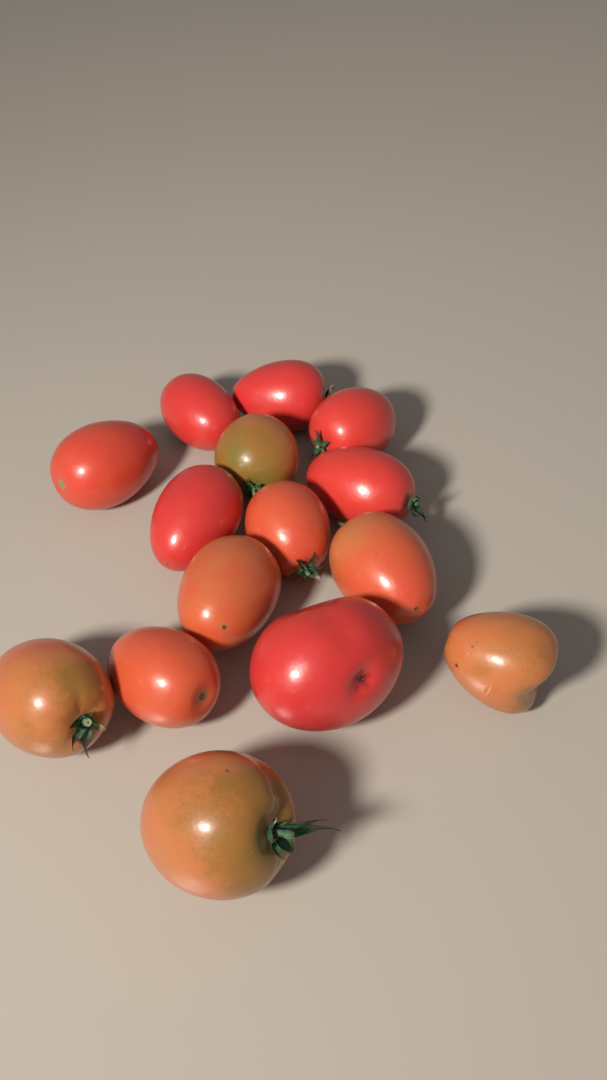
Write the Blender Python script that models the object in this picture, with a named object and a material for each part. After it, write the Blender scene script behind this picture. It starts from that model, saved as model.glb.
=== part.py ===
"""Fifteen plum tomatoes lying loose on a level surface, eight of them with calyx and stalk.

Metres, +Z up. The origin is on the surface, under the middle of the whole group.
Each fruit is modelled along its own axis, with the stem end at local +Z, then laid down:
its heading is the compass direction of the stem end, anticlockwise from +X, and its lean is
how far that end is lifted. Every fruit has a small flat where it rests on the surface.
"""
import math
from dataclasses import dataclass

import bmesh
import bpy
import numpy as np
from mathutils import Matrix, Vector

MM = 0.001

# Mesh fineness
FRUIT_RINGS = 13
FRUIT_SEGMENTS = 22
POLE_CROWDING = 0.06        # how much closer the rings lie towards the two ends
SEPAL_STATIONS = 4
STALK_SIDES = 10
STALK_STATIONS = 4

# Clearances and thicknesses
REST_SINK = 0.5 * MM        # how much of the underside the resting flat takes off
CALYX_CLEARANCE = 0.4 * MM  # between fruit and calyx
STALK_CLEARANCE = 0.3 * MM  # between calyx and stalk
SEPAL_THICKNESS = 0.7 * MM
SEPAL_TIP_HALF_WIDTH = 0.2 * MM
SEPAL_FOLD = 0.3            # how far a sepal's midrib lies below its edges, as a share of half its width
HUB_RADIUS = 2.6 * MM       # the green disc that the sepals grow from
SEAT_DEPTH = 0.86           # how deep in the hollow the hub lies, as a share of its depth
SCAR_BREADTH = 0.14         # size of the blossom scar's dimple, as a share of half the width

STEMWARD = Vector((0, 0, 1))  # a fruit's own axis, towards its stem end

# Skin colours, linear
RED = (0.62, 0.045, 0.035)
ORANGE_RED = (0.64, 0.115, 0.045)
ORANGE = (0.55, 0.19, 0.055)
UNRIPE = (0.34, 0.16, 0.03)
CALYX_GREEN = (0.035, 0.16, 0.05)
STALK_GREEN = (0.24, 0.38, 0.16)
SKIN_ROUGHNESS = 0.22
LEAF_ROUGHNESS = 0.7


@dataclass
class Shape:
    """The outline of a fruit, in millimetres, with angles in degrees about its axis."""
    length: float             # stem end to blossom end
    width: float
    taper: float = 0.05       # above zero: fuller at the stem end
    blunt: float = 0.90       # below one: squarer ends
    oval: float = 1.0         # width across the side axis over width across the up axis
    cavity: float = 2.2       # depth of the hollow at the stem end
    mouth: float = 0.26       # its size, as a share of the width
    dimple: float = 0.4       # depth of the blossom scar's dimple
    lobes: int = 5
    furrow: float = 0.02      # depth of the grooves between lobes, as a share of the width
    turn: float = 0.0         # where the first groove runs
    spread: float = 0.0       # how far the hollow follows the grooves outward
    dents: tuple = ()         # (from the stem pole, around the axis, depth, breadth)


@dataclass
class Sepal:
    """A leaf of the calyx. Angles are in degrees. A rise of 0 is square to the fruit's axis, 90 along it."""
    around: float
    reach: float              # millimetres along its curve
    rise: float               # where it leaves the hub
    tip_rise: float
    swing: float = 0.0        # how far it turns sideways by its tip
    width: float = 3.2        # millimetres at its widest


@dataclass
class Stalk:
    """The cut stalk in the middle of a calyx: length and diameter in millimetres, bend in degrees."""
    length: float
    diameter: float = 2.4
    bend: float = 15.0
    around: float = 90.0      # the side it bends to


@dataclass
class Tomato:
    number: int
    place: tuple              # across and away from the middle, millimetres
    heading: float
    lean: float
    shape: Shape
    skin: tuple = RED
    calyx: tuple = ()         # its sepals, in order around the axis
    stalk: object = None


TOMATOES = (
    Tomato(1, (-101.5, 85), 228, 8, Shape(68.5, 49.5, taper=0.12), ORANGE_RED),
    Tomato(2, (-51, 137.5), 130, 2, Shape(60.5, 43.5, taper=0.04)),
    Tomato(3, (-0.5, 153.5), -1, 0, Shape(62.5, 45.5, taper=0.26),
           calyx=(Sepal(15, 8, 15, 70), Sepal(80, 10, 25, 30, swing=20), Sepal(150, 8, 20, -10),
                  Sepal(230, 7, 15, 60), Sepal(305, 7, 15, 30)),
           stalk=Stalk(5)),
    Tomato(4, (46.5, 120), 225, 4, Shape(59, 48.5, taper=0.10),
           calyx=(Sepal(45, 7, 20, -20), Sepal(105, 14, 25, -15, width=2.4), Sepal(175, 8, 20, 10),
                  Sepal(240, 11, 20, 5), Sepal(320, 9, 25, -20)),
           stalk=Stalk(4)),
    Tomato(5, (-12.5, 89.5), 267, -5, Shape(53, 50.5, furrow=0.03), UNRIPE,
           calyx=(Sepal(45, 7, 15, -10), Sepal(115, 8, 15, -15), Sepal(180, 5, 40, 60),
                  Sepal(245, 6, 15, 30), Sepal(315, 6, 15, 30)),
           stalk=Stalk(6, 2.6, 40, 340)),
    Tomato(6, (-45, 39.5), 68, 6, Shape(67.5, 46.5, taper=0.13)),
    Tomato(7, (6.9, 31.5), 290, -10, Shape(55.5, 46, taper=-0.05), ORANGE_RED,
           calyx=(Sepal(5, 10, 20, 35), Sepal(65, 12, 15, -40, width=2.4),
                  Sepal(115, 12, 15, -45, width=2.4), Sepal(190, 8, 20, -10),
                  Sepal(255, 7, 25, 60), Sepal(320, 12, 30, 30)),
           stalk=Stalk(4)),
    Tomato(8, (47.5, 66), -32, 6, Shape(67, 46, taper=0.10),
           calyx=(Sepal(30, 8, 30, 90), Sepal(95, 8, 30, 110), Sepal(160, 8, 20, 60),
                  Sepal(225, 9, 30, 90), Sepal(278, 14, 40, 45)),
           stalk=Stalk(4)),
    Tomato(9, (57, -1), 116, -6, Shape(68, 50.5, taper=0.13), ORANGE_RED,
           calyx=(Sepal(35, 13, 50, 85), Sepal(105, 7, 25, 0), Sepal(170, 7, 20, 30),
                  Sepal(235, 7, 15, 30), Sepal(305, 7, 15, 30)),
           stalk=Stalk(4)),
    Tomato(10, (-23.3, -17.4), 73, -9, Shape(67, 49.2, taper=0.12, blunt=0.83), ORANGE),
    Tomato(11, (25, -61), -53, 28, Shape(63, 60.5, oval=1.25, taper=0.08, cavity=3.4, mouth=0.13, lobes=2,
                                        furrow=0.06, turn=40, spread=0.3,
                                        dents=((110, 74, 6.4, 29), (38, 86, 1.0, 12), (62, 86, 1.6, 16)))),
    Tomato(12, (108, -56.7), -22.6, -7,
           Shape(52.4, 46.8, oval=1.03, taper=0.245, blunt=0.758, cavity=8.2, mouth=0.287, lobes=2,
                 furrow=0.25, turn=177, spread=1.72),
           ORANGE),
    Tomato(13, (-101.2, -78), -42, 21, Shape(66.5, 51.5, taper=0.10, cavity=3.5, furrow=0.03, spread=0.3),
           ORANGE,
           calyx=(Sepal(30, 6, 55, 95), Sepal(95, 6, 50, 90), Sepal(160, 8, 35, 20, width=4.4),
                  Sepal(210, 12, 20, -30, width=4.2), Sepal(252, 17, 18, -35, width=3.6),
                  Sepal(295, 15, 22, 5, width=2.8)),
           stalk=Stalk(7, 3.6, 30, 110)),
    Tomato(14, (-51.8, -64.3), -39, 16, Shape(62, 44.5, taper=0.10, cavity=2.6, mouth=0.22), ORANGE_RED),
    Tomato(15, (-20, -140), -25, 30,
           Shape(66, 56.5, taper=0.09, cavity=5.5, mouth=0.24,
                 dents=((19, 6, 2.6, 8), (32, 22, 3.2, 8), (47, 26, 2.6, 8), (62, 27, 1.4, 9),
                        (22, 262, 2.4, 8), (36, 252, 2.0, 9))),
           ORANGE,
           calyx=(Sepal(10, 8, 40, 95), Sepal(75, 8, 35, 100), Sepal(150, 8, 35, 100),
                  Sepal(215, 10, 30, 40, width=4.2), Sepal(262, 14, 30, 5, width=4.4),
                  Sepal(306, 28, 42, 18, width=3.4), Sepal(328, 21, 42, 10, width=3)),
           stalk=Stalk(9, 3.2, 25, 300)),
)


def clear_scene():
    for found in list(bpy.data.objects):
        bpy.data.objects.remove(found, do_unlink=True)


def material(name, colour, roughness):
    made = bpy.data.materials.new(name)
    made.use_nodes = True
    shader = made.node_tree.nodes["Principled BSDF"]
    shader.inputs["Base Color"].default_value = (*colour, 1.0)
    shader.inputs["Roughness"].default_value = roughness
    shader.inputs["Metallic"].default_value = 0.0
    return made


def direction(polar, around):
    """Unit vector at an angle from the stem pole and an angle about the axis, in degrees."""
    polar, around = math.radians(polar), math.radians(around)
    across = math.sin(polar)
    return np.array([across * math.cos(around), across * math.sin(around), math.cos(polar)])


def fruit_surface(shape, rings=FRUIT_RINGS, segments=FRUIT_SEGMENTS):
    """Points of the skin in local metres, as an array of rings from the stem pole to the blossom pole."""
    step = np.linspace(0, 1, rings + 1)[:, None]
    polar = math.pi * (step - POLE_CROWDING * np.sin(2 * math.pi * step))
    around = np.linspace(0, 2 * math.pi, segments, endpoint=False)[None, :]
    out, along = np.sin(polar), np.cos(polar) + 0 * around
    groove = np.abs(np.cos(shape.lobes * (around - math.radians(shape.turn)) / 2)) ** 4
    shoulder = ((1 + along) / 2) ** 1.5
    radius = out ** shape.blunt * (1 + shape.taper * along - 0.25 * shape.taper ** 2)
    radius = radius * (1 - shape.furrow * shoulder * groove)
    mouth = shape.mouth * (1 + shape.spread * groove)
    hollow = shape.cavity * np.exp(-(out / mouth) ** 2) * (along > 0)
    dimple = shape.dimple * np.exp(-(out / SCAR_BREADTH) ** 2) * (along < 0)
    points = np.stack([
        shape.width / 2 * radius * np.cos(around) * shape.oval,
        shape.width / 2 * radius * np.sin(around),
        shape.length / 2 * along - hollow + dimple,
    ], axis=-1)
    toward = points / np.maximum(np.linalg.norm(points, axis=-1, keepdims=True), 1e-9)
    for polar_at, around_at, depth, breadth in shape.dents:
        off = np.degrees(np.arccos(np.clip(toward @ direction(polar_at, around_at), -1, 1)))
        points = points - toward * (depth * np.exp(-(off / breadth) ** 2))[..., None]
    return points * MM


def laid_down(tomato):
    """Rotation that turns local +Z to the stem end's heading and lean, with local +X level."""
    heading, lean = math.radians(tomato.heading), math.radians(tomato.lean)
    axis = Vector((math.cos(heading) * math.cos(lean), math.sin(heading) * math.cos(lean), math.sin(lean)))
    side = Vector((-math.sin(heading), math.cos(heading), 0))
    return Matrix((side, axis.cross(side), axis)).transposed()


def place_object(name, mesh, surface, parent=None):
    made = bpy.data.objects.new(name, mesh)
    bpy.context.scene.collection.objects.link(made)
    mesh.materials.append(surface)
    mesh.shade_smooth()
    mesh.set_sharp_from_angle(angle=math.radians(50))
    made.parent = parent
    return made


def grid_mesh(name, rows, cut=None):
    """Closed mesh over rings of points whose first and last rings have shrunk to the poles.
    cut is (point, normal) of a plane whose far side is taken off and closed with a flat face."""
    mesh = bpy.data.meshes.new(name)
    body = bmesh.new()
    first, last = body.verts.new(rows[0][0]), body.verts.new(rows[-1][0])
    loops = [[body.verts.new(point) for point in row] for row in rows[1:-1]]
    count = len(loops[0])
    for i in range(count):
        j = (i + 1) % count
        body.faces.new((first, loops[0][i], loops[0][j]))
        body.faces.new((last, loops[-1][j], loops[-1][i]))
        for upper, lower in zip(loops, loops[1:]):
            body.faces.new((upper[i], lower[i], lower[j], upper[j]))
    if cut:
        point, normal = cut
        whole = body.verts[:] + body.edges[:] + body.faces[:]
        sliced = bmesh.ops.bisect_plane(body, geom=whole, plane_co=point, plane_no=normal, clear_outer=True)
        rim = [item for item in sliced["geom_cut"] if isinstance(item, bmesh.types.BMEdge)]
        bmesh.ops.contextual_create(body, geom=rim)
    bmesh.ops.recalc_face_normals(body, faces=body.faces)
    body.to_mesh(mesh)
    body.free()
    return mesh


def make_fruit(tomato, group):
    name = f"tomato_{tomato.number:02d}_fruit"
    points = fruit_surface(tomato.shape)
    turned = laid_down(tomato)
    down = np.array(turned.transposed() @ Vector((0, 0, -1)))
    height = float((points @ down).max()) - REST_SINK
    mesh = grid_mesh(name, points, cut=(Vector(down * height), Vector(down)))
    fruit = place_object(name, mesh, material(name + "_skin", tomato.skin, SKIN_ROUGHNESS), group)
    across, away = tomato.place
    fruit.matrix_world = Matrix.Translation((across * MM, away * MM, height)) @ turned.to_4x4()
    return fruit


def hub_height(shape):
    """Height of the calyx's underside along the fruit's axis, just clear of the hollow's floor."""
    return (shape.length / 2 - SEAT_DEPTH * shape.cavity) * MM + CALYX_CLEARANCE


def sepal_sections(sepal, base):
    """Cross-sections of a sepal from hub to tip, as three points across its upper face and its lower."""
    sections = []
    here, reach = base, sepal.reach * MM
    for station in range(1, SEPAL_STATIONS + 1):
        share = station / SEPAL_STATIONS
        middle = share - 0.5 / SEPAL_STATIONS
        rise = math.radians(sepal.rise + (sepal.tip_rise - sepal.rise) * middle)
        turned = math.radians(sepal.around + sepal.swing * middle)
        outward = Vector((math.cos(turned), math.sin(turned), 0))
        across = Vector((-math.sin(turned), math.cos(turned), 0))
        along = outward * math.cos(rise) + STEMWARD * math.sin(rise)
        above = STEMWARD * math.cos(rise) - outward * math.sin(rise)
        here = here + along * reach / SEPAL_STATIONS
        half = sepal.width / 2 * MM * (1 - share) ** 0.7 * (0.85 + 0.5 * math.sin(math.pi * share))
        half = max(half, SEPAL_TIP_HALF_WIDTH)
        fold = above * half * SEPAL_FOLD
        upper = [here - across * half + fold, here, here + across * half + fold]
        lower = [point - above * SEPAL_THICKNESS * (1 - 0.5 * share) for point in upper]
        sections.append((upper, lower))
    return sections


def make_calyx(tomato, fruit):
    """A hub disc with its sepals, as one closed leaf-thin body."""
    name = f"tomato_{tomato.number:02d}_calyx"
    bottom = hub_height(tomato.shape)
    top = bottom + SEPAL_THICKNESS
    body = bmesh.new()

    def pair(radius, around):
        x, y = radius * math.cos(math.radians(around)), radius * math.sin(math.radians(around))
        return body.verts.new((x, y, top)), body.verts.new((x, y, bottom))

    sepals = tomato.calyx
    centre = pair(0, 0)
    corners, middles = [], []
    for sepal, following in zip(sepals, sepals[1:] + sepals[:1]):
        gap = (following.around - sepal.around) % 360
        middles.append(pair(HUB_RADIUS, sepal.around))
        corners.append(pair(HUB_RADIUS, sepal.around + gap / 2))
    for i, sepal in enumerate(sepals):
        rim = (corners[i - 1], middles[i], corners[i])
        for a, b in zip(rim, rim[1:]):
            body.faces.new((centre[0], a[0], b[0]))
            body.faces.new((centre[1], b[1], a[1]))
        before = ([v[0] for v in rim], [v[1] for v in rim])
        base = Vector(middles[i][0].co)
        for upper, lower in sepal_sections(sepal, base):
            now = ([body.verts.new(p) for p in upper], [body.verts.new(p) for p in lower])
            for k in (0, 1):
                body.faces.new((before[0][k], now[0][k], now[0][k + 1], before[0][k + 1]))
                body.faces.new((before[1][k], before[1][k + 1], now[1][k + 1], now[1][k]))
            body.faces.new((before[0][0], before[1][0], now[1][0], now[0][0]))
            body.faces.new((before[0][2], now[0][2], now[1][2], before[1][2]))
            before = now
        for k in (0, 1):
            body.faces.new((before[0][k], before[1][k], before[1][k + 1], before[0][k + 1]))
    bmesh.ops.recalc_face_normals(body, faces=body.faces)
    mesh = bpy.data.meshes.new(name)
    body.to_mesh(mesh)
    body.free()
    return place_object(name, mesh, material(name + "_leaf", CALYX_GREEN, LEAF_ROUGHNESS), fruit)


def make_stalk(tomato, fruit):
    """A short stalk, a little thicker at both ends, bending away from the middle of the calyx."""
    name = f"tomato_{tomato.number:02d}_stem"
    stalk = tomato.stalk
    here = Vector((0, 0, hub_height(tomato.shape) + SEPAL_THICKNESS + STALK_CLEARANCE))
    lean_to = Vector((math.cos(math.radians(stalk.around)), math.sin(math.radians(stalk.around)), 0))
    rows = [[here] * STALK_SIDES]
    for station in range(STALK_STATIONS + 1):
        share = station / STALK_STATIONS
        tilt = math.radians(stalk.bend * share)
        along = STEMWARD * math.cos(tilt) + lean_to * math.sin(tilt)
        first = lean_to * math.cos(tilt) - STEMWARD * math.sin(tilt)
        second = along.cross(first)
        if station:
            here = here + along * stalk.length * MM / STALK_STATIONS
        radius = stalk.diameter / 2 * MM * (0.8 + 0.8 * (share - 0.5) ** 2)
        rows.append([
            here + radius * (first * math.cos(turn) + second * math.sin(turn))
            for turn in (2 * math.pi * i / STALK_SIDES for i in range(STALK_SIDES))
        ])
    rows.append([here] * STALK_SIDES)
    mesh = grid_mesh(name, rows)
    return place_object(name, mesh, material(name + "_stalk", STALK_GREEN, LEAF_ROUGHNESS), fruit)


def centre_on_origin(group):
    """Moves the group so that the middle of its box is over the origin and its underside at z = 0."""
    bpy.context.view_layer.update()
    corners = np.array([
        found.matrix_world @ vertex.co
        for found in bpy.context.scene.objects if found.type == "MESH"
        for vertex in found.data.vertices
    ])
    low, high = corners.min(axis=0), corners.max(axis=0)
    group.location = (-(low[0] + high[0]) / 2, -(low[1] + high[1]) / 2, -low[2])
    bpy.context.view_layer.update()


def main():
    clear_scene()
    group = bpy.data.objects.new("tomatoes", None)
    bpy.context.scene.collection.objects.link(group)
    for tomato in TOMATOES:
        fruit = make_fruit(tomato, group)
        if tomato.calyx:
            make_calyx(tomato, fruit)
            make_stalk(tomato, fruit)
    centre_on_origin(group)


main()
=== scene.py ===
import math
import random
from dataclasses import dataclass

import bmesh
import bpy
import numpy as np
from mathutils import Matrix, Vector, noise
from mathutils.bvhtree import BVHTree


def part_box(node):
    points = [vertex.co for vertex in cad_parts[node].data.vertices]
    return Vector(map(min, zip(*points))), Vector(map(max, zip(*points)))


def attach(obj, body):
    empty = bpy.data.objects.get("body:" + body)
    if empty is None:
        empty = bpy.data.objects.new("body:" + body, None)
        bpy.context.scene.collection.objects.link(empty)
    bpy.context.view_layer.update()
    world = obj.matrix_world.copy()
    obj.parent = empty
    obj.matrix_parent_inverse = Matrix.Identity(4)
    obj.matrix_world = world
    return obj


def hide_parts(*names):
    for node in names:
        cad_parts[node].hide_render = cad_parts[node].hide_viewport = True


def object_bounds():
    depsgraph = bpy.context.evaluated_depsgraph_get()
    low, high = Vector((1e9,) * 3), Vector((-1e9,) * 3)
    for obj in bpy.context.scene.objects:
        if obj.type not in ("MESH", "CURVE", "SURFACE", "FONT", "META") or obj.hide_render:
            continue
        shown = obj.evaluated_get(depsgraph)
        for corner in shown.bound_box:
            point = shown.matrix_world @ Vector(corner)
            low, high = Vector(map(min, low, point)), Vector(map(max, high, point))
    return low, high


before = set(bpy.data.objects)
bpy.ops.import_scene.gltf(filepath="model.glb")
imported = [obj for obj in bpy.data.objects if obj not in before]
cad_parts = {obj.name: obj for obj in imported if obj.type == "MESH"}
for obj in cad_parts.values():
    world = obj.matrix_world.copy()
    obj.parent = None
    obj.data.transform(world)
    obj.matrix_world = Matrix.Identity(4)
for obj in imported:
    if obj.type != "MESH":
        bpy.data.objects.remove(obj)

# Fifteen plum tomatoes lying loose on a level surface, seen from above and in front.
#
# Metres, +Z up. Every fruit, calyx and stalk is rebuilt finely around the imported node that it
# replaces. A fruit is modelled along its own axis, stem end at local +Z, then laid down on the
# spot its node holds. A direction on a fruit is two angles in degrees: from the stem pole, and
# around the axis from local +X, which lies level, towards local +Y, the upper side.

CAD_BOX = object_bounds()
MM = 0.001

# Mesh fineness
FRUIT_RINGS = 84
FRUIT_SEGMENTS = 128
POLE_CROWDING = 0.10          # how much closer the rings stand near the two poles
SEPAL_RINGS = 18
SEPAL_ACROSS = 9              # points across one face of a sepal
HUB_RINGS = 8
HUB_SIDES = 24
STALK_RINGS = 22
STALK_SIDES = 30

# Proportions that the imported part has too
REST_SINK = 0.5 * MM          # how far the underside is pressed flat
SEAT_DEPTH = 0.86             # how deep in the stem hollow the calyx sits, as a share of it
DIMPLE_BREADTH = 0.14         # of the dimple at the blossom end, as a share of the radius
CALYX_CLEARANCE = 0.4 * MM
SEPAL_THICKNESS = 0.7 * MM
HUB_RADIUS = 2.6 * MM

# Finer shape
SWELLS = ((0.22, 55), (0.06, 170))   # of the skin: height in mm, noise scale per metre
SEPAL_ROOT = 0.6 * MM         # where a sepal starts, from the axis
SEPAL_SINK = 0.1 * MM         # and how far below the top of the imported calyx
THREAD = 0.13 * MM            # half the width of a sepal's drawn-out tip
HUB_SINK = 0.2 * MM           # how far the hub's middle and the stalk's foot lie below that top
HUB_HALF_HEIGHT = 0.75 * MM
SKIN_CLEARANCE = 0.25 * MM    # least room between a sepal and the skin
STALK_EXTRA = 0.4 * MM        # length of stalk hidden in the hub

# Camera, lamps and floor
CAMERA_FROM_FRONT = (0.0144, -0.1200, 0.3466)   # from the middle of the box's lower front edge
CAMERA_TILT = 44                                # degrees up from looking straight down
CAMERA_LENS = 27.7
KEY_PLACE = (-0.29, -0.41, 0.43)
LAMP_AIM = (0, 0, 0.02)
LAMP_COLOUR = (1.0, 0.93, 0.85)
WORLD_COLOUR = (0.86, 0.83, 0.80, 1)
FLOOR_COLOUR = (0.475, 0.437, 0.387, 1)
FLOOR_DROP = 0.05 * MM        # the floor lies this far below the fruits
FIRST_FRONT_FRUIT = 10        # fruits from this number on are in front


@dataclass
class Shape:
    """A surface of revolution along local Z, with what makes it a fruit. Lengths are in mm."""
    length: float
    width: float
    taper: float = 0.05       # share by which the stem half is wider and the blossom half narrower
    blunt: float = 0.90       # 1 is an ellipsoid, less is squarer at the ends
    oval: float = 1.0         # level width over upright width
    cavity: float = 2.2       # depth of the stem hollow
    mouth: float = 0.26       # breadth of the stem hollow, as a share of the radius
    dimple: float = 0.4       # depth of the dimple at the blossom end
    lobes: int = 5
    furrow: float = 0.02      # depth of the furrows between the lobes, as a share of the radius
    turn: float = 0.0         # where the first furrow runs
    spread: float = 0.0       # how much the hollow widens into the furrows
    dents: tuple = ()         # (from the stem pole, around, depth, breadth in degrees)


@dataclass
class Sepal:
    """One sepal. Angles in degrees, lengths in mm."""
    around: float
    reach: float              # length beyond the hub
    rise: float               # slope where it leaves the hub
    tip_rise: float           # slope at its tip
    swing: float = 0.0        # how far it turns sideways towards its tip
    width: float = 3.2
    dry: float = 0.62         # how far along it the withered tip starts
    pale: float = 0.0         # how far that tip has bleached instead of turning dark


@dataclass
class Stalk:
    """The cut stalk. Angles in degrees, lengths in mm."""
    length: float
    diameter: float = 2.4
    bend: float = 15.0        # how far it leans at its cut end
    around: float = 90.0      # the side it leans to
    pale: float = 0.12        # how far it has faded towards its cut end


@dataclass
class Look:
    """Skin of one fruit."""
    unripe: float = 0.10      # from 0, deep red, to 1, green
    shoulder: float = 0.0     # more unripe towards the stem end
    tip: float = 0.0          # more unripe towards the blossom end
    mottle: float = 0.10
    patches: tuple = ()       # (from the stem pole, around, radius in degrees, more unripe by)
    spots: tuple = ()         # (from the stem pole, around, radius in mm, depth of brown)
    scar: str = "none"        # what shows at the stem end: none, green, cork or star
    blossom: float = 1.0      # strength of the blossom scar
    blossom_at: tuple = (180, 0)  # where it sits, from the stem pole and around

    @property
    def slot(self):
        """The material slot name for a skin of this ripeness."""
        for limit, name in ((0.2, "red_skin"), (0.45, "orange_red_skin"), (0.7, "orange_skin")):
            if self.unripe < limit:
                return name
        return "unripe_skin"


@dataclass
class Tomato:
    """One fruit. Its axis points to the stem end: heading in degrees from +X, lean above level."""
    number: int
    heading: float
    lean: float
    shape: Shape
    look: Look
    calyx: tuple = ()
    stalk: Stalk = None


TOMATOES = (
    Tomato(1, 228, 8, Shape(68.5, 49.5, taper=0.12),
           Look(0.27, tip=-0.18, mottle=0.08, scar="green")),
    Tomato(2, 130, 2, Shape(60.5, 43.5, taper=0.04), Look(0.08)),
    Tomato(3, -1, 0, Shape(62.5, 45.5, taper=0.26), Look(0.08),
           calyx=(Sepal(15, 8, 15, 70), Sepal(80, 10, 25, 30, swing=20, dry=0.35, pale=0.2),
                  Sepal(150, 8, 20, -10), Sepal(230, 7, 15, 60), Sepal(305, 7, 15, 30)),
           stalk=Stalk(5)),
    Tomato(4, 225, 4, Shape(59, 48.5, taper=0.10), Look(0.14),
           calyx=(Sepal(45, 7, 20, -20), Sepal(105, 14, 25, -15, width=2.4, dry=0.2, pale=0.15),
                  Sepal(175, 8, 20, 10), Sepal(240, 11, 20, 5), Sepal(320, 9, 25, -20)),
           stalk=Stalk(4)),
    Tomato(5, 267, -5, Shape(53, 50.5, furrow=0.03),
           Look(0.78, shoulder=0.14, mottle=0.11,
                patches=((75, 20, 40, -0.12), (60, 120, 25, 0.10), (120, 90, 40, -0.14)),
                spots=((80, 100, 0.5, 0.5), (62, 112, 0.4, 0.5), (48, 70, 0.4, 0.4))),
           calyx=(Sepal(45, 7, 15, -10), Sepal(115, 8, 15, -15), Sepal(180, 5, 40, 60),
                  Sepal(245, 6, 15, 30), Sepal(315, 6, 15, 30)),
           stalk=Stalk(6, 2.6, 40, 340, pale=0.9)),
    Tomato(6, 68, 6, Shape(67.5, 46.5, taper=0.13), Look(0.07)),
    Tomato(7, 290, -10, Shape(55.5, 46, taper=-0.05), Look(0.33, mottle=0.10),
           calyx=(Sepal(5, 10, 20, 35), Sepal(65, 12, 15, -40, width=2.4, dry=0.3),
                  Sepal(115, 12, 15, -45, width=2.4, dry=0.3), Sepal(190, 8, 20, -10),
                  Sepal(255, 7, 25, 60), Sepal(320, 12, 30, 30, dry=0.5, pale=0.5)),
           stalk=Stalk(4)),
    Tomato(8, -32, 6, Shape(67, 46, taper=0.10), Look(0.14, mottle=0.07),
           calyx=(Sepal(30, 8, 30, 90), Sepal(95, 8, 30, 110), Sepal(160, 8, 20, 60),
                  Sepal(225, 9, 30, 90), Sepal(278, 14, 40, 45)),
           stalk=Stalk(4)),
    Tomato(9, 116, -6, Shape(68, 50.5, taper=0.13),
           Look(0.40, shoulder=0.30, mottle=0.14, blossom=1.6, blossom_at=(175, 43),
                patches=((75, 60, 30, 0.10), (150, 90, 45, -0.06)),
                spots=((108, 65, 0.6, 0.6), (112, 60, 0.4, 0.5), (95, 100, 0.35, 0.4))),
           calyx=(Sepal(35, 13, 50, 85), Sepal(105, 7, 25, 0), Sepal(170, 7, 20, 30),
                  Sepal(235, 7, 15, 30), Sepal(305, 7, 15, 30)),
           stalk=Stalk(4)),
    Tomato(10, 73, -9, Shape(67, 49.2, taper=0.12, blunt=0.83),
           Look(0.46, shoulder=0.16, mottle=0.16, blossom=2.0, blossom_at=(159, 147),
                spots=((120, 100, 0.35, 0.5), (90, 60, 0.35, 0.4)))),
    Tomato(11, -53, 28,
           Shape(63, 60.5, oval=1.25, taper=0.08, cavity=3.4, mouth=0.13, lobes=2, furrow=0.06,
                 turn=40, spread=0.3,
                 dents=((110, 74, 6.4, 29), (38, 86, 1.0, 12), (62, 86, 1.6, 16))),
           Look(0.05, scar="star")),
    Tomato(12, -22.6, -7,
           Shape(52.4, 46.8, oval=1.03, taper=0.245, blunt=0.758, cavity=8.2, mouth=0.287,
                 lobes=2, furrow=0.25, turn=177, spread=1.72),
           Look(0.60, mottle=0.22, blossom=0.6,
                patches=((113, 150, 22, 0.08), (84, 172, 28, -0.06), (46, 165, 22, 0.14),
                         (58, 109, 18, 0.12), (133, 110, 30, -0.07)),
                spots=((138, 172, 1.1, 1.0), (130, 128, 0.9, 0.55), (131, 138, 0.5, 0.6),
                       (127, 120, 0.45, 0.5), (73, 79, 0.4, 0.4)))),
    Tomato(13, -42, 21, Shape(66.5, 51.5, taper=0.10, cavity=3.5, furrow=0.03, spread=0.3),
           Look(0.57, shoulder=0.14, mottle=0.20,
                patches=((30, 62, 17, 0.13), (52, 64, 15, 0.06), (125, 60, 40, -0.10))),
           calyx=(Sepal(30, 6, 55, 95), Sepal(95, 6, 50, 90), Sepal(160, 8, 35, 20, width=4.4),
                  Sepal(210, 12, 20, -30, width=4.2, dry=0.45),
                  Sepal(252, 17, 18, -35, width=3.6, dry=0.35),
                  Sepal(295, 15, 22, 5, width=2.8, dry=0.42, pale=1)),
           stalk=Stalk(7, 3.6, 30, 110, pale=0.2)),
    Tomato(14, -39, 16, Shape(62, 44.5, taper=0.10, cavity=2.6, mouth=0.22),
           Look(0.36, mottle=0.10, scar="cork", patches=((20, 30, 25, 0.06),),
                spots=((80, 95, 0.5, 0.5), (72, 100, 0.4, 0.4)))),
    Tomato(15, -25, 30,
           Shape(66, 56.5, taper=0.09, cavity=5.5, mouth=0.24,
                 dents=((19, 6, 2.6, 8), (32, 22, 3.2, 8), (47, 26, 2.6, 8), (62, 27, 1.4, 9),
                        (22, 262, 2.4, 8), (36, 252, 2.0, 9))),
           Look(0.60, shoulder=0.22, mottle=0.22,
                patches=((55, 150, 30, 0.08), (95, 200, 35, -0.16), (130, 60, 40, -0.05)),
                spots=((57, 69, 0.9, 0.7), (57, 90, 0.5, 0.5), (101, 126, 0.4, 0.6),
                       (75, 110, 0.3, 0.6))),
           calyx=(Sepal(10, 8, 40, 95), Sepal(75, 8, 35, 100, pale=0.8), Sepal(150, 8, 35, 100),
                  Sepal(215, 10, 30, 40, width=4.2), Sepal(262, 14, 30, 5, width=4.4),
                  Sepal(306, 28, 42, 18, width=3.4, dry=0.55),
                  Sepal(328, 21, 42, 10, width=3, dry=0.45)),
           stalk=Stalk(9, 3.2, 25, 300, pale=0.0)),
)


# ---------------------------------------------------------------- camera, lights, floor

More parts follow.
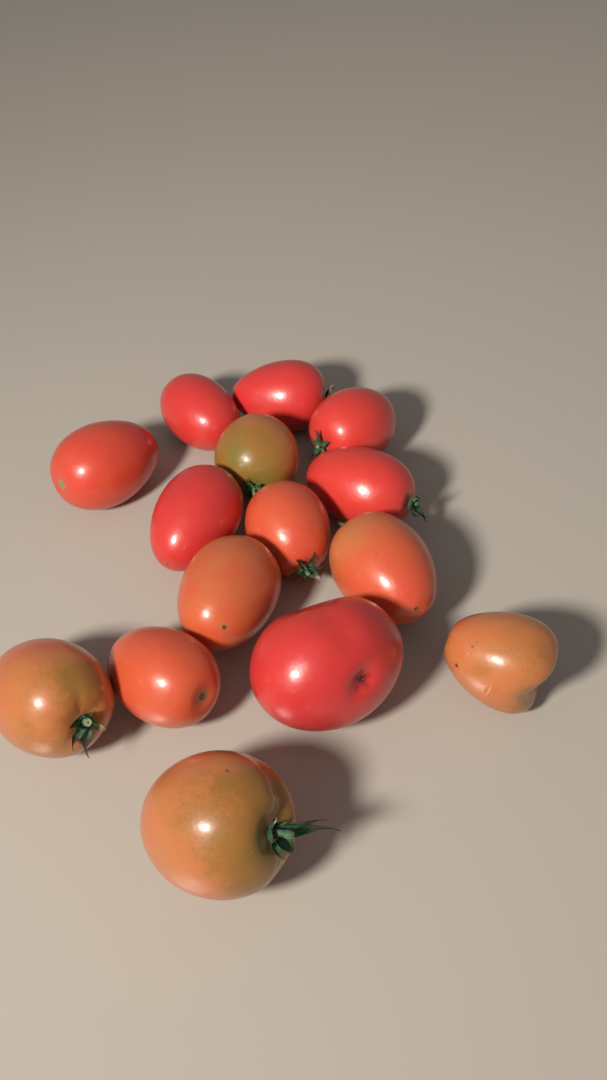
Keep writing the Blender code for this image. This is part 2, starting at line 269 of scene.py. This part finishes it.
def add_camera():
    """Held at arm's length in front of the tomatoes and tilted down at them."""
    low, high = CAD_BOX
    front = Vector(((low.x + high.x) / 2, low.y, low.z))
    data = bpy.data.cameras.new("camera")
    data.sensor_width = 36
    data.lens = CAMERA_LENS
    data.clip_start, data.clip_end = 0.02, 20
    made = bpy.data.objects.new("camera", data)
    made.location = front + Vector(CAMERA_FROM_FRONT)
    made.rotation_euler = (math.radians(CAMERA_TILT), 0, 0)
    bpy.context.scene.collection.objects.link(made)
    bpy.context.scene.camera = made


def add_lamp(name, place, size, power):
    """A round lamp whose light keeps its strength over distance, as from a large far lamp."""
    data = bpy.data.lights.new(name, "AREA")
    data.shape = "DISK"
    data.size, data.energy, data.color = size, power, LAMP_COLOUR
    data.use_nodes = True
    tree = data.node_tree
    falloff = tree.nodes.new("ShaderNodeLightFalloff")
    falloff.inputs["Strength"].default_value = 1.0
    tree.links.new(falloff.outputs["Constant"], tree.nodes["Emission"].inputs["Strength"])
    made = bpy.data.objects.new(name, data)
    made.location = place
    made.rotation_euler = (Vector(LAMP_AIM) - Vector(place)).to_track_quat("-Z", "Y").to_euler()
    bpy.context.scene.collection.objects.link(made)
    return made


def group(name, pieces):
    made = bpy.data.collections.new(name)
    for piece in pieces:
        made.objects.link(piece)
    return made


def add_glint(skins):
    """The key's faint mirror image in a polished worktop: it gives the highlights on the lower
    sides of the front fruits. It shines up through the floor, but not through the fruits."""
    made = add_lamp("worktop_glint", (*KEY_PLACE[:2], -KEY_PLACE[2]), size=0.14, power=1.8)
    made.visible_diffuse = False
    made.light_linking.blocker_collection = group("fruits", skins)
    made.light_linking.receiver_collection = group("front_fruits", skins[FIRST_FRONT_FRUIT - 1:])


def add_lights():
    add_lamp("key", KEY_PLACE, size=0.10, power=12.3)
    world = bpy.data.worlds.new("studio")
    world.use_nodes = True
    ground = world.node_tree.nodes["Background"]
    ground.inputs["Color"].default_value = WORLD_COLOUR
    ground.inputs["Strength"].default_value = 0.25
    bpy.context.scene.world = world
    bpy.context.scene.view_settings.view_transform = "Standard"


def add_floor():
    body = bmesh.new()
    bmesh.ops.create_grid(body, x_segments=2, y_segments=2, size=4)
    mesh = bpy.data.meshes.new("floor")
    body.to_mesh(mesh)
    body.free()
    made = bpy.data.objects.new("floor", mesh)
    made.location.z = CAD_BOX[0].z - FLOOR_DROP
    bpy.context.scene.collection.objects.link(made)
    surface = bpy.data.materials.new("floor")
    surface.use_nodes = True
    shader = surface.node_tree.nodes["Principled BSDF"]
    shader.inputs["Base Color"].default_value = FLOOR_COLOUR
    shader.inputs["Roughness"].default_value = 0.80
    shader.inputs["Specular IOR Level"].default_value = 0.15
    mesh.materials.append(surface)


# ---------------------------------------------------------------- node helpers

class Nodes:
    """Short ways to add and join shader nodes."""

    def __init__(self, name):
        self.material = bpy.data.materials.new(name)
        self.material.use_nodes = True
        self.tree = self.material.node_tree
        self.shader = self.tree.nodes["Principled BSDF"]

    def add(self, kind, **settings):
        node = self.tree.nodes.new("ShaderNode" + kind)
        for key, value in settings.items():
            setattr(node, key, value)
        return node

    def link(self, value, socket):
        if isinstance(value, bpy.types.NodeSocket):
            self.tree.links.new(value, socket)
        elif isinstance(value, (tuple, list)) and len(value) == 3 and socket.type == "RGBA":
            socket.default_value = (*value, 1)
        else:
            socket.default_value = value

    def math(self, operation, *values):
        node = self.add("Math", operation=operation)
        for socket, value in zip(node.inputs, values):
            self.link(value, socket)
        return node.outputs[0]

    def remap(self, value, low, high, to_low=0.0, to_high=1.0):
        node = self.add("MapRange", interpolation_type="SMOOTHSTEP")
        for key, item in (("Value", value), ("From Min", low), ("From Max", high),
                          ("To Min", to_low), ("To Max", to_high)):
            self.link(item, node.inputs[key])
        return node.outputs["Result"]

    def wobble(self, value, amount):
        """A noise value turned into a change of up to half the amount either way."""
        return self.math("MULTIPLY", self.math("SUBTRACT", value, 0.5), amount)

    def vector(self, operation, value, fixed):
        """A vector operation with a fixed second vector."""
        node = self.add("VectorMath", operation=operation)
        self.link(value, node.inputs[0])
        node.inputs[1].default_value = fixed
        return node.outputs["Value" if operation == "DISTANCE" else "Vector"]

    def split(self, kind, value):
        node = self.add("Separate" + kind)
        self.link(value, node.inputs[0])
        return node.outputs

    def mix(self, factor, first, second):
        node = self.add("Mix", data_type="RGBA")
        self.link(factor, node.inputs["Factor"])
        self.link(first, node.inputs[6])
        self.link(second, node.inputs[7])
        return node.outputs[2]

    def attribute(self, name):
        node = self.add("Attribute", attribute_name=name)
        return node.outputs["Fac"]

    def where(self):
        """Place in the piece's own axes."""
        return self.add("Attribute", attribute_name="own").outputs["Vector"]

    def noise(self, where, scale, detail=2.0, roughness=0.5):
        node = self.add("TexNoise")
        self.link(where, node.inputs["Vector"])
        for key, item in (("Scale", scale), ("Detail", detail), ("Roughness", roughness)):
            self.link(item, node.inputs[key])
        return node.outputs["Fac"]

    def voronoi(self, where, scale):
        node = self.add("TexVoronoi")
        self.link(where, node.inputs["Vector"])
        self.link(scale, node.inputs["Scale"])
        return node

    def ramp(self, value, stops):
        node = self.add("ValToRGB")
        self.link(value, node.inputs["Fac"])
        ramp = node.color_ramp
        ramp.interpolation = "EASE"
        while len(ramp.elements) < len(stops):
            ramp.elements.new(0.5)
        for element, (at, colour) in zip(ramp.elements, stops):
            element.position = at
            element.color = (*colour, 1)
        return node.outputs["Color"]

    def bump(self, height, distance, strength=1.0, onto=None):
        node = self.add("Bump")
        self.link(height, node.inputs["Height"])
        node.inputs["Distance"].default_value = distance
        node.inputs["Strength"].default_value = strength
        if onto is not None:
            self.link(onto, node.inputs["Normal"])
        return node.outputs["Normal"]

    def set(self, **values):
        for key, value in values.items():
            self.link(value, self.shader.inputs[key.replace("_", " ")])


# ---------------------------------------------------------------- fruit

def direction(polar, around):
    polar, around = math.radians(polar), math.radians(around)
    return np.array([math.sin(polar) * math.cos(around), math.sin(polar) * math.sin(around),
                     math.cos(polar)])


def unit(points):
    return points / np.maximum(np.linalg.norm(points, axis=-1, keepdims=True), 1e-9)


def degrees_from(toward, polar, around):
    """How many degrees each of the unit vectors is from a direction."""
    return np.degrees(np.arccos(np.clip(toward @ direction(polar, around), -1, 1)))


def fruit_surface(shape):
    """Points of the skin in local metres, as rings from the stem pole to the blossom pole."""
    step = np.linspace(0, 1, FRUIT_RINGS + 1)[:, None]
    polar = math.pi * (step - POLE_CROWDING * np.sin(2 * math.pi * step))
    around = np.linspace(0, 2 * math.pi, FRUIT_SEGMENTS, endpoint=False)[None, :]
    out, along = np.sin(polar), np.cos(polar) + 0 * around
    # groove is 1 along the furrows and falls to 0 between them; shoulder is 1 at the stem end
    groove = np.abs(np.cos(shape.lobes * (around - math.radians(shape.turn)) / 2)) ** 4
    shoulder = ((1 + along) / 2) ** 1.5
    radius = out ** shape.blunt * (1 + shape.taper * along - 0.25 * shape.taper ** 2)
    radius = radius * (1 - shape.furrow * shoulder * groove)
    mouth = shape.mouth * (1 + shape.spread * groove)
    hollow = shape.cavity * np.exp(-(out / mouth) ** 2) * (along > 0)
    dimple = shape.dimple * np.exp(-(out / DIMPLE_BREADTH) ** 2) * (along < 0)
    points = np.stack([
        shape.width / 2 * radius * np.cos(around) * shape.oval,
        shape.width / 2 * radius * np.sin(around),
        shape.length / 2 * along - hollow + dimple,
    ], axis=-1)
    toward = unit(points)
    for polar_at, around_at, depth, breadth in shape.dents:
        off = degrees_from(toward, polar_at, around_at)
        points = points - toward * (depth * np.exp(-(off / breadth) ** 2))[..., None]
    return points * MM


def unevenness(points, seed):
    """Gentle swells of a natural skin: moves each point along its own direction."""
    flat = points.reshape(-1, 3)
    offset = Vector((seed * 7.3, seed * 3.1, seed * 5.7))
    moved = np.array([
        sum(height * noise.noise(Vector(p) * scale + offset) for height, scale in SWELLS)
        for p in flat
    ])
    return (flat + unit(flat) * (moved * MM)[:, None]).reshape(points.shape)


def laid_down(tomato):
    """Rotation that turns local +Z to the stem end's heading and lean, with local +X level."""
    heading, lean = math.radians(tomato.heading), math.radians(tomato.lean)
    axis = Vector((math.cos(heading) * math.cos(lean), math.sin(heading) * math.cos(lean),
                   math.sin(lean)))
    side = Vector((-math.sin(heading), math.cos(heading), 0))
    return Matrix((side, axis.cross(side), axis)).transposed()


def grid_body(rows, body=None):
    """Closed bmesh over rings of points whose first and last rings have shrunk to the poles.
    Given a body, it adds to it. Vertices come in the order first pole, last pole, rings."""
    body = body or bmesh.new()
    first, last = body.verts.new(rows[0][0]), body.verts.new(rows[-1][0])
    loops = [[body.verts.new(point) for point in row] for row in rows[1:-1]]
    count = len(loops[0])
    for i in range(count):
        j = (i + 1) % count
        body.faces.new((first, loops[0][i], loops[0][j]))
        body.faces.new((last, loops[-1][j], loops[-1][i]))
        for upper, lower in zip(loops, loops[1:]):
            body.faces.new((upper[i], lower[i], lower[j], upper[j]))
    return body


def in_order(rows):
    """The values of rows in the order that grid_body makes its vertices."""
    return [rows[0][0], rows[-1][0]] + [value for row in rows[1:-1] for value in row]


def new_piece(name, body, surface, node):
    bmesh.ops.recalc_face_normals(body, faces=body.faces)
    mesh = bpy.data.meshes.new(name)
    body.to_mesh(mesh)
    body.free()
    mesh.shade_smooth()
    mesh.materials.append(surface)
    made = bpy.data.objects.new(name, mesh)
    bpy.context.scene.collection.objects.link(made)
    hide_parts(node)
    return made


def paint(mesh, name, values):
    layer = mesh.attributes.new(name, "FLOAT", "POINT")
    layer.data.foreach_set("value", np.asarray(values, np.float32))


def coordinates(mesh):
    found = np.empty(len(mesh.vertices) * 3, np.float32)
    mesh.vertices.foreach_get("co", found)
    return found.reshape(-1, 3).astype(float)


def ripeness(tomato, points):
    """How unripe each point of the skin is, before the shader's mottling."""
    look = tomato.look
    toward = unit(points)
    along = toward[:, 2]
    amount = look.unripe + look.shoulder * np.clip((along - 0.1) / 0.9, 0, 1) ** 1.5
    amount = amount + look.tip * np.clip((-along - 0.1) / 0.9, 0, 1) ** 1.5
    for polar, around, radius, change in look.patches:
        off = degrees_from(toward, polar, around)
        amount = amount + change * np.exp(-(off / radius) ** 2)
    return amount


def fruit_centre(tomato, laid):
    """Where the fruit's own origin belongs: over its node's place, its underside pressed flat."""
    low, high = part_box(f"tomato_{tomato.number:02d}_fruit")
    middle = (laid.min(axis=0) + laid.max(axis=0)) / 2
    return np.array([(low.x + high.x) / 2 - middle[0], (low.y + high.y) / 2 - middle[1],
                     -laid[:, 2].min() - REST_SINK])


def lay_down(made, tomato, centre=None):
    """Turns a mesh modelled along the fruit's axis onto its place, and keeps its own coordinates
    in the attribute "own" for the materials. Nothing reaches below the resting surface."""
    points = coordinates(made.data)
    own = made.data.attributes.new("own", "FLOAT_VECTOR", "POINT")
    own.data.foreach_set("vector", points.astype(np.float32).ravel())
    laid = points @ np.array(laid_down(tomato)).T
    centre = fruit_centre(tomato, laid) if centre is None else centre
    laid[:, 2] = np.maximum(laid[:, 2], -centre[2])
    made.data.vertices.foreach_set("co", laid.astype(np.float32).ravel())
    made.data.update()
    made.location = centre
    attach(made, "root")
    return centre


def spot_place(points, polar, around):
    """The point of the skin nearest a direction."""
    return points[np.argmax(unit(points) @ direction(polar, around))]


# What is left at the stem end of a fruit that has lost its calyx: how many rays it has, and
# rings of (outline, full out to mm, gone at mm, colour, strength). The star scar's outer ring of
# dark red rays is painted shade of the creases puckered round it.
STEM_SCARS = {
    "green": (5, (("round", 1.5, 4.5, (0.42, 0.16, 0.040), 0.6),
                  ("star", 1.5, 2.1, (0.25, 0.34, 0.11), 1.0),
                  ("star", -0.2, 0.7, (0.14, 0.18, 0.05), 0.6))),
    "cork": (6, (("round", 2.4, 5.5, (0.40, 0.13, 0.035), 0.7),
                 ("round", 2.2, 2.9, (0.34, 0.21, 0.09), 1.0),
                 ("round", 1.5, 2.1, (0.085, 0.050, 0.022), 1.0),
                 ("star", 0.1, 0.7, (0.19, 0.13, 0.06), 0.8))),
    # outer dark red rays out to 5.5 mm: painted shade of the creases round the scar; the near-black
    # star inside is the scar
    "star": (5, (("star", 1.2, 5.5, (0.26, 0.014, 0.013), 0.75),
                 ("star", 0.3, 1.2, (0.022, 0.008, 0.007), 1.0))),
}


def add_stem_scar(n, look, own, colour):
    """Paints the stem scar, with painted shade in the creases round a star scar. Gives the new
    colour and where the skin is corky.
    """
    rays, rings = STEM_SCARS[look.scar]
    x, y, z = n.split("XYZ", own)
    radius = n.math("SQRT", n.math("ADD", n.math("MULTIPLY", x, x), n.math("MULTIPLY", y, y)))
    radius = n.math("MULTIPLY", radius, 1000)
    angle = n.math("ARCTAN2", y, x)
    ragged = n.wobble(n.noise(own, 900, 3), 1.1)
    rough = n.math("ADD", radius, ragged)
    top = n.math("GREATER_THAN", z, 0.0)
    wave = n.math("ADD", n.math("MULTIPLY", angle, rays / 2), n.math("MULTIPLY", ragged, 1.6))
    ray = n.math("POWER", n.math("ABSOLUTE", n.math("COSINE", wave)), 2.5)
    outlines = {"round": rough, "star": n.math("SUBTRACT", rough, n.math("MULTIPLY", ray, 1.6))}
    for outline, inner, outer, tint, amount in rings:
        mask = n.math("MULTIPLY", n.remap(outlines[outline], inner, outer, amount, 0), top)
        colour = n.mix(mask, colour, tint)
    return colour, n.math("MULTIPLY", n.remap(rough, 2.0, 3.0, 1, 0), top)


# Skin colour by ripeness, from deep red to green
RIPENESS_COLOURS = (
    (0.0, (0.62, 0.036, 0.036)), (0.18, (0.66, 0.050, 0.036)), (0.40, (0.64, 0.110, 0.042)),
    (0.60, (0.54, 0.185, 0.062)), (0.80, (0.33, 0.152, 0.031)), (1.0, (0.17, 0.165, 0.032)),
)
PALE_PORE = (0.80, 0.42, 0.24)
BROWN_PORE = (0.16, 0.07, 0.025)
BROWN_MARK = (0.11, 0.052, 0.018)
BLOSSOM_RING = (0.33, 0.20, 0.05)
BLOSSOM_BUTTON = (0.10, 0.060, 0.022)


def ripe_colour(n, look, place):
    """Colour by ripeness, with broad blotches, streaks along the fruit and fine flecks."""
    broad = n.noise(place, 42, 3, 0.55)
    streaks = n.noise(n.vector("MULTIPLY", place, (1, 1, 0.22)), 330, 3, 0.6)
    fine = n.noise(place, 800, 3, 0.6)
    unripe = n.attribute("unripe")
    for layer, amount in ((broad, 2 * look.mottle), (streaks, 0.6 * look.mottle),
                          (fine, 0.12 + 0.3 * look.mottle)):
        unripe = n.math("ADD", unripe, n.wobble(layer, amount))
    return n.ramp(unripe, RIPENESS_COLOURS)


def add_pores(n, place, colour):
    """Small pores everywhere: some of them pale, a few brown."""
    pores = n.voronoi(place, 260)
    pale, brown, _ = n.split("Color", pores.outputs["Color"])
    dot = n.remap(pores.outputs["Distance"], 0.10, 0.03)
    colour = n.mix(n.math("MULTIPLY", dot, n.remap(pale, 0.72, 0.80, 0, 0.40)), colour, PALE_PORE)
    return n.mix(n.math("MULTIPLY", dot, n.remap(brown, 0.86, 0.90, 0, 0.65)), colour, BROWN_PORE)


def add_marks(n, look, points, own, place, colour):
    """Brown marks, each with a ragged edge. Gives the new colour and where the skin is pitted."""
    pitted = None
    for polar, around, radius, depth in look.spots:
        edge = n.math("ADD", n.vector("DISTANCE", own, spot_place(points, polar, around)),
                      n.wobble(n.noise(place, 1300, 2), 0.9 * radius * MM))
        mark = n.remap(edge, 1.25 * radius * MM, 0.45 * radius * MM, 0, depth)
        colour = n.mix(mark, colour, BROWN_MARK)
        pitted = mark if pitted is None else n.math("MAXIMUM", pitted, mark)
    return colour, pitted


def add_blossom_scar(n, look, points, own, place, colour):
    """A small brown button in a faint greenish ring. Gives the new colour and where it is dull."""
    button = n.math("ADD", n.vector("DISTANCE", own, spot_place(points, *look.blossom_at)),
                    n.wobble(n.noise(place, 1500, 3), 1.2 * MM))
    halo, core = (1.9 + 0.7 * look.blossom) * MM, (0.55 + 0.35 * look.blossom) * MM
    ring = n.remap(button, halo, core, 0, 0.45 * min(1, look.blossom))
    colour = n.mix(ring, colour, BLOSSOM_RING)
    colour = n.mix(n.remap(button, core * 1.15, core * 0.55), colour, BLOSSOM_BUTTON)
    return colour, n.remap(button, core * 1.2, core * 0.8)


def skin_material(tomato, points):
    """Ripening skin with pores, marks and scars under a waxy coat."""
    look = tomato.look
    n = Nodes(f"tomato_{tomato.number:02d}_skin")
    own = n.where()
    place = n.vector("ADD", own, (tomato.number * 0.31, tomato.number * 0.17, 0.1))
    colour = add_pores(n, place, ripe_colour(n, look, place))
    colour, pitted = add_marks(n, look, points, own, place, colour)
    colour, matt = add_blossom_scar(n, look, points, own, place, colour)
    if look.scar != "none":
        colour, corky = add_stem_scar(n, look, own, colour)
        matt = n.math("MAXIMUM", matt, corky)

    # fine orange-peel, a slightly uneven gloss, dull on the scars
    rough = n.remap(n.noise(place, 160, 3, 0.6), 0.3, 0.7, 0.32, 0.42)
    rough = n.math("ADD", rough, n.math("MULTIPLY", matt, 0.35))
    peel = n.noise(place, 520, 2, 0.5)
    swell = n.noise(place, 130, 2, 0.5)
    coat = n.bump(swell, 0.0005, 0.25, n.bump(peel, 0.00012, 0.30))
    skin = n.bump(n.math("MULTIPLY", matt, n.noise(place, 1800, 3, 0.7)), 0.0005, 0.8, coat)
    if pitted is not None:
        skin = n.bump(pitted, -0.0001, 0.3, skin)
    n.set(Base_Color=colour, Roughness=rough, IOR=1.45, Coat_Weight=0.55, Coat_Roughness=0.22,
          Coat_IOR=1.45, Subsurface_Weight=0.14, Subsurface_Scale=0.004,
          Subsurface_Radius=(1.0, 0.35, 0.15), Normal=skin, Coat_Normal=coat)
    return n.material


def make_fruit(tomato):
    """Gives the piece, where its origin lies, and its surface in its own axes."""
    name = f"tomato_{tomato.number:02d}"
    rows = unevenness(fruit_surface(tomato.shape), tomato.number)
    body = grid_body(rows)
    bmesh.ops.recalc_face_normals(body, faces=body.faces)
    surface = BVHTree.FromBMesh(body)
    points = np.array([vertex.co for vertex in body.verts])
    made = new_piece(name + "_skin", body, skin_material(tomato, points), name + "_fruit")
    paint(made.data, "unripe", ripeness(tomato, points))
    return made, lay_down(made, tomato), surface


# ---------------------------------------------------------------- calyx and stalk

UP = Vector((0, 0, 1))


def hub_height(shape):
    """Height of the calyx's underside on the fruit's axis."""
    return (shape.length / 2 - SEAT_DEPTH * shape.cavity) * MM + CALYX_CLEARANCE


def level_direction(angle):
    """The unit vector across the axis at an angle in radians around it."""
    return Vector((math.cos(angle), math.sin(angle), 0))


def sepal_width(share):
    """Share of a sepal's full width: widest a third of the way, then drawn out to a thread."""
    return (0.72 + 0.9 * share) * math.exp(-(share / 0.58) ** 3.2)


def sepal_section(here, side, above, half, cup, thick, share, ruffle_at):
    """One ring of points round a sepal: its cupped upper face, then its ribbed underside."""
    upper, lower, marks = [], [], []
    for k in range(SEPAL_ACROSS):
        s = 2 * k / (SEPAL_ACROSS - 1) - 1
        ruffle = 0.10 * half * math.sin(ruffle_at + 2 * s) * s * s
        point = (here + side * half * s * (1 - 0.12 * cup * s * s)
                 + above * (half * cup * s * s + ruffle))
        rib = 0.10 * MM * math.exp(-(s / 0.16) ** 2) * (1 - share)
        upper.append(point - above * rib)
        lower.append(point - above * (thick * (1 - 0.75 * s * s) + 1.4 * rib))
        marks.append(s)
    return [tuple(p) for p in upper + lower[::-1]], marks + marks[::-1]


def sepal_rows(sepal, start, draw):
    """Rings of one sepal from hub to tip, with how far along each is and how far across each
    point. Its lift, swing, curl, twist, width and waves vary at random."""
    lift, swing = draw.uniform(-18, 22), draw.uniform(-22, 22)
    curl, twist = draw.uniform(60, 165) * draw.choice((-1, 1, 1)), draw.uniform(-95, 95)
    full = draw.uniform(0.80, 1.12)
    wave, beat = draw.uniform(0, 6.28), draw.uniform(7, 11)
    reach = sepal.reach * MM
    lead = HUB_RADIUS - SEPAL_ROOT
    total = lead + reach
    here = level_direction(math.radians(sepal.around)) * SEPAL_ROOT + UP * (start - SEPAL_SINK)
    rows, along, across = [], [], []
    for ring in range(SEPAL_RINGS + 1):
        share = ring / SEPAL_RINGS
        out = max(0.0, (share * total - lead) / reach)
        tip = max(0.0, out - 0.40) / 0.60
        rise = math.radians(sepal.rise * min(1.0, share * total / lead)
                            + (sepal.tip_rise - sepal.rise) * out + lift * out + curl * tip ** 2)
        facing = math.radians(sepal.around + (sepal.swing + swing) * out)
        outward = level_direction(facing)
        side = UP.cross(outward)
        forward = outward * math.cos(rise) + UP * math.sin(rise)
        above = UP * math.cos(rise) - outward * math.sin(rise)
        roll = Matrix.Rotation(math.radians(twist * out), 3, forward)
        side, above = roll @ side, roll @ above
        if ring:
            here = here + forward * total / SEPAL_RINGS
        half = max(0.92 * full * sepal.width * MM * sepal_width(share), THREAD)
        half *= 1 + 0.10 * math.sin(beat * share + wave)
        cup = 0.60 + 0.26 * math.sin(wave + 3 * share) + 0.35 * tip
        thick = SEPAL_THICKNESS * (1 - 0.45 * share)
        row, marks = sepal_section(here, side, above, half, cup, thick, share,
                                   beat * 2.3 * share + wave)
        rows.append(row)
        across.append(marks)
        along.append([share] * len(row))
    rows[0] = [tuple(sum((Vector(p) for p in rows[0]), Vector()) / len(rows[0]))] * len(rows[0])
    rows[-1] = [tuple(here)] * len(rows[-1])
    return rows, along, across


def hub_rows(start):
    """Rings of the flat button in the middle of the calyx, from top to bottom."""
    rows = []
    for ring in range(HUB_RINGS + 1):
        turn = math.pi * ring / HUB_RINGS
        radius, height = HUB_RADIUS * 0.95 * math.sin(turn), HUB_HALF_HEIGHT * math.cos(turn)
        rows.append([(radius * math.cos(a), radius * math.sin(a), start - HUB_SINK + height)
                     for a in np.linspace(0, 2 * math.pi, HUB_SIDES, endpoint=False)])
    return rows


def keep_clear(points, surface):
    """Moves points that would lie in the fruit out to just above its skin."""
    kept = []
    for point in points:
        near, normal, _, _ = surface.find_nearest(Vector(point))
        depth = (Vector(point) - near).dot(normal)
        kept.append(near + normal * SKIN_CLEARANCE if depth < SKIN_CLEARANCE else Vector(point))
    return kept


def make_calyx(tomato, centre, surface):
    name = f"tomato_{tomato.number:02d}"
    draw = random.Random(tomato.number)
    start = hub_height(tomato.shape) + SEPAL_THICKNESS
    body = bmesh.new()
    marks = {"along": [], "across": [], "withered": [], "pale": []}
    for sepal in tomato.calyx:
        rows, along, across = sepal_rows(sepal, start, draw)
        grid_body(rows, body)
        along = in_order(along)
        marks["along"] += along
        marks["across"] += in_order(across)
        marks["withered"] += [share - sepal.dry for share in along]
        marks["pale"] += [sepal.pale] * len(along)
    rows = hub_rows(start)
    grid_body(rows, body)
    count = len(in_order(rows))
    for key, value in (("along", 0.0), ("across", 0.5), ("withered", -0.5), ("pale", 0.0)):
        marks[key] += [value] * count
    for vertex, point in zip(body.verts, keep_clear([v.co for v in body.verts], surface)):
        vertex.co = point
    made = new_piece(name + "_leaves", body, leaf_material(tomato), name + "_calyx")
    for key, values in marks.items():
        paint(made.data, key, values)
    lay_down(made, tomato, centre)


def stalk_rows(stalk, start, draw):
    """Rings of a ridged stalk that flares into the calyx, swells at its knuckle and ends in a
    broken face, with how far along each is and how far from the middle of the cut."""
    lean_to = level_direction(math.radians(stalk.around))
    here = UP * start
    length = stalk.length * MM + STALK_EXTRA
    rows, along, inner = [], [], []
    for ring in range(STALK_RINGS + 1):
        share = ring / STALK_RINGS
        tilt = math.radians(stalk.bend * share)
        forward = UP * math.cos(tilt) + lean_to * math.sin(tilt)
        first = lean_to * math.cos(tilt) - UP * math.sin(tilt)
        second = forward.cross(first)
        if ring:
            here = here + forward * length / STALK_RINGS
        flare = 0.55 * math.exp(-(share / 0.16) ** 2)
        knuckle = 0.22 * math.exp(-((share - 0.80) / 0.13) ** 2)
        radius = stalk.diameter / 2 * MM * (0.80 + flare + knuckle)
        rows.append([tuple(here + radius * (1 + 0.07 * math.cos(5 * a) + 0.03 * draw.uniform(-1, 1))
                           * (first * math.cos(a) + second * math.sin(a)))
                     for a in np.linspace(0, 2 * math.pi, STALK_SIDES, endpoint=False)])
        along.append([share] * STALK_SIDES)
        inner.append([1.0] * STALK_SIDES)
    rim = rows[-1]
    for size, sink in ((0.86, 0.02), (0.6, 0.22), (0.3, 0.10), (0.0, 0.30)):
        rows.append([tuple(here + (Vector(p) - here) * size - forward * sink * MM) for p in rim])
        along.append([1.0] * STALK_SIDES)
        inner.append([size] * STALK_SIDES)
    bottom = Vector(rows[0][0]).lerp(Vector(rows[0][STALK_SIDES // 2]), 0.5)
    rows.insert(0, [tuple(bottom)] * STALK_SIDES)
    along.insert(0, [0.0] * STALK_SIDES)
    inner.insert(0, [1.0] * STALK_SIDES)
    return rows, along, inner


def make_stalk(tomato, centre):
    name = f"tomato_{tomato.number:02d}"
    start = hub_height(tomato.shape) + SEPAL_THICKNESS - HUB_SINK
    rows, along, inner = stalk_rows(tomato.stalk, start, random.Random(100 + tomato.number))
    made = new_piece(name + "_stalk", grid_body(rows), stalk_material(tomato), name + "_stem")
    paint(made.data, "along", in_order(along))
    paint(made.data, "inner", in_order(inner))
    lay_down(made, tomato, centre)


# Leaf and stalk greens by a patchy noise, and the cut face from its middle out to its rim
LEAF_GREENS = (
    (0.25, (0.007, 0.038, 0.016)), (0.50, (0.018, 0.105, 0.038)), (0.75, (0.045, 0.205, 0.068)),
)
LEAF_VEIN = (0.10, 0.25, 0.085)
LEAF_EDGE = (0.012, 0.022, 0.010)
LEAF_YELLOWED = (0.060, 0.050, 0.016)
LEAF_WITHERED = (0.020, 0.016, 0.008)
LEAF_BLEACHED = (0.58, 0.49, 0.36)
STALK_GREENS = ((0.3, (0.016, 0.070, 0.024)), (0.7, (0.060, 0.175, 0.060)))
STALK_FADED = (0.34, 0.47, 0.22)
STALK_CUT = (
    (0.15, (0.050, 0.060, 0.022)), (0.45, (0.20, 0.27, 0.10)), (0.80, (0.33, 0.38, 0.20)),
    (0.97, (0.20, 0.26, 0.12)),
)


def leaf_material(tomato):
    """A patchy green with a midrib and side veins, dark edges and a withered tip."""
    n = Nodes(f"tomato_{tomato.number:02d}_leaf")
    where = n.where()
    along, across = n.attribute("along"), n.math("ABSOLUTE", n.attribute("across"))
    patchy = n.noise(where, 420, 4, 0.6)
    colour = n.ramp(patchy, LEAF_GREENS)
    slant = n.math("ADD", n.math("MULTIPLY", along, 60), n.math("MULTIPLY", across, -9))
    side_veins = n.remap(n.math("SINE", slant), 0.80, 1.0, 0, 0.45)
    vein = n.math("MAXIMUM", n.remap(across, 0.16, 0.02), side_veins)
    colour = n.mix(n.math("MULTIPLY", vein, 0.40), colour, LEAF_VEIN)
    edge = n.math("ADD", across, n.math("MULTIPLY", n.noise(where, 700, 3), 0.5))
    colour = n.mix(n.remap(edge, 0.95, 1.35, 0, 0.75), colour, LEAF_EDGE)
    dry = n.math("ADD", n.attribute("withered"), n.wobble(patchy, 0.35))
    withered = n.mix(n.attribute("pale"), LEAF_WITHERED, LEAF_BLEACHED)
    colour = n.mix(n.remap(dry, -0.16, 0.02, 0, 0.7), colour, LEAF_YELLOWED)
    colour = n.mix(n.remap(dry, 0.0, 0.14), colour, withered)
    height = n.math("ADD", n.math("MULTIPLY", vein, -0.6), n.noise(where, 1500, 3, 0.6))
    n.set(Base_Color=colour, Roughness=n.remap(patchy, 0.3, 0.7, 0.42, 0.68), Sheen_Weight=0.10,
          Sheen_Roughness=0.45, Subsurface_Weight=0.12, Subsurface_Scale=0.001,
          Subsurface_Radius=(0.4, 1.0, 0.2), Normal=n.bump(height, 0.00025, 0.7))
    return n.material


def stalk_material(tomato):
    """A patchy green that fades towards the cut, and a paler cut face with a dark middle."""
    n = Nodes(f"tomato_{tomato.number:02d}_stalk")
    where = n.where()
    along, inner = n.attribute("along"), n.attribute("inner")
    patchy = n.noise(where, 500, 4, 0.6)
    faded = n.remap(along, 0.25, 0.98, 0.5 * tomato.stalk.pale, tomato.stalk.pale)
    colour = n.mix(faded, n.ramp(patchy, STALK_GREENS), STALK_FADED)
    colour = n.mix(n.math("GREATER_THAN", along, 0.995), colour, n.ramp(inner, STALK_CUT))
    n.set(Base_Color=colour, Roughness=n.remap(patchy, 0.3, 0.7, 0.45, 0.7), Sheen_Weight=0.25,
          Subsurface_Weight=0.15, Subsurface_Scale=0.001, Subsurface_Radius=(0.5, 1.0, 0.3),
          Normal=n.bump(n.noise(where, 1600, 3, 0.6), 0.0003, 0.6))
    return n.material


# ---------------------------------------------------------------- build

add_camera()
add_lights()
add_floor()
fruits = []
for tomato in TOMATOES:
    fruit, centre, surface = make_fruit(tomato)
    fruits.append(fruit)
    if tomato.calyx:
        make_calyx(tomato, centre, surface)
        make_stalk(tomato, centre)
add_glint(fruits)
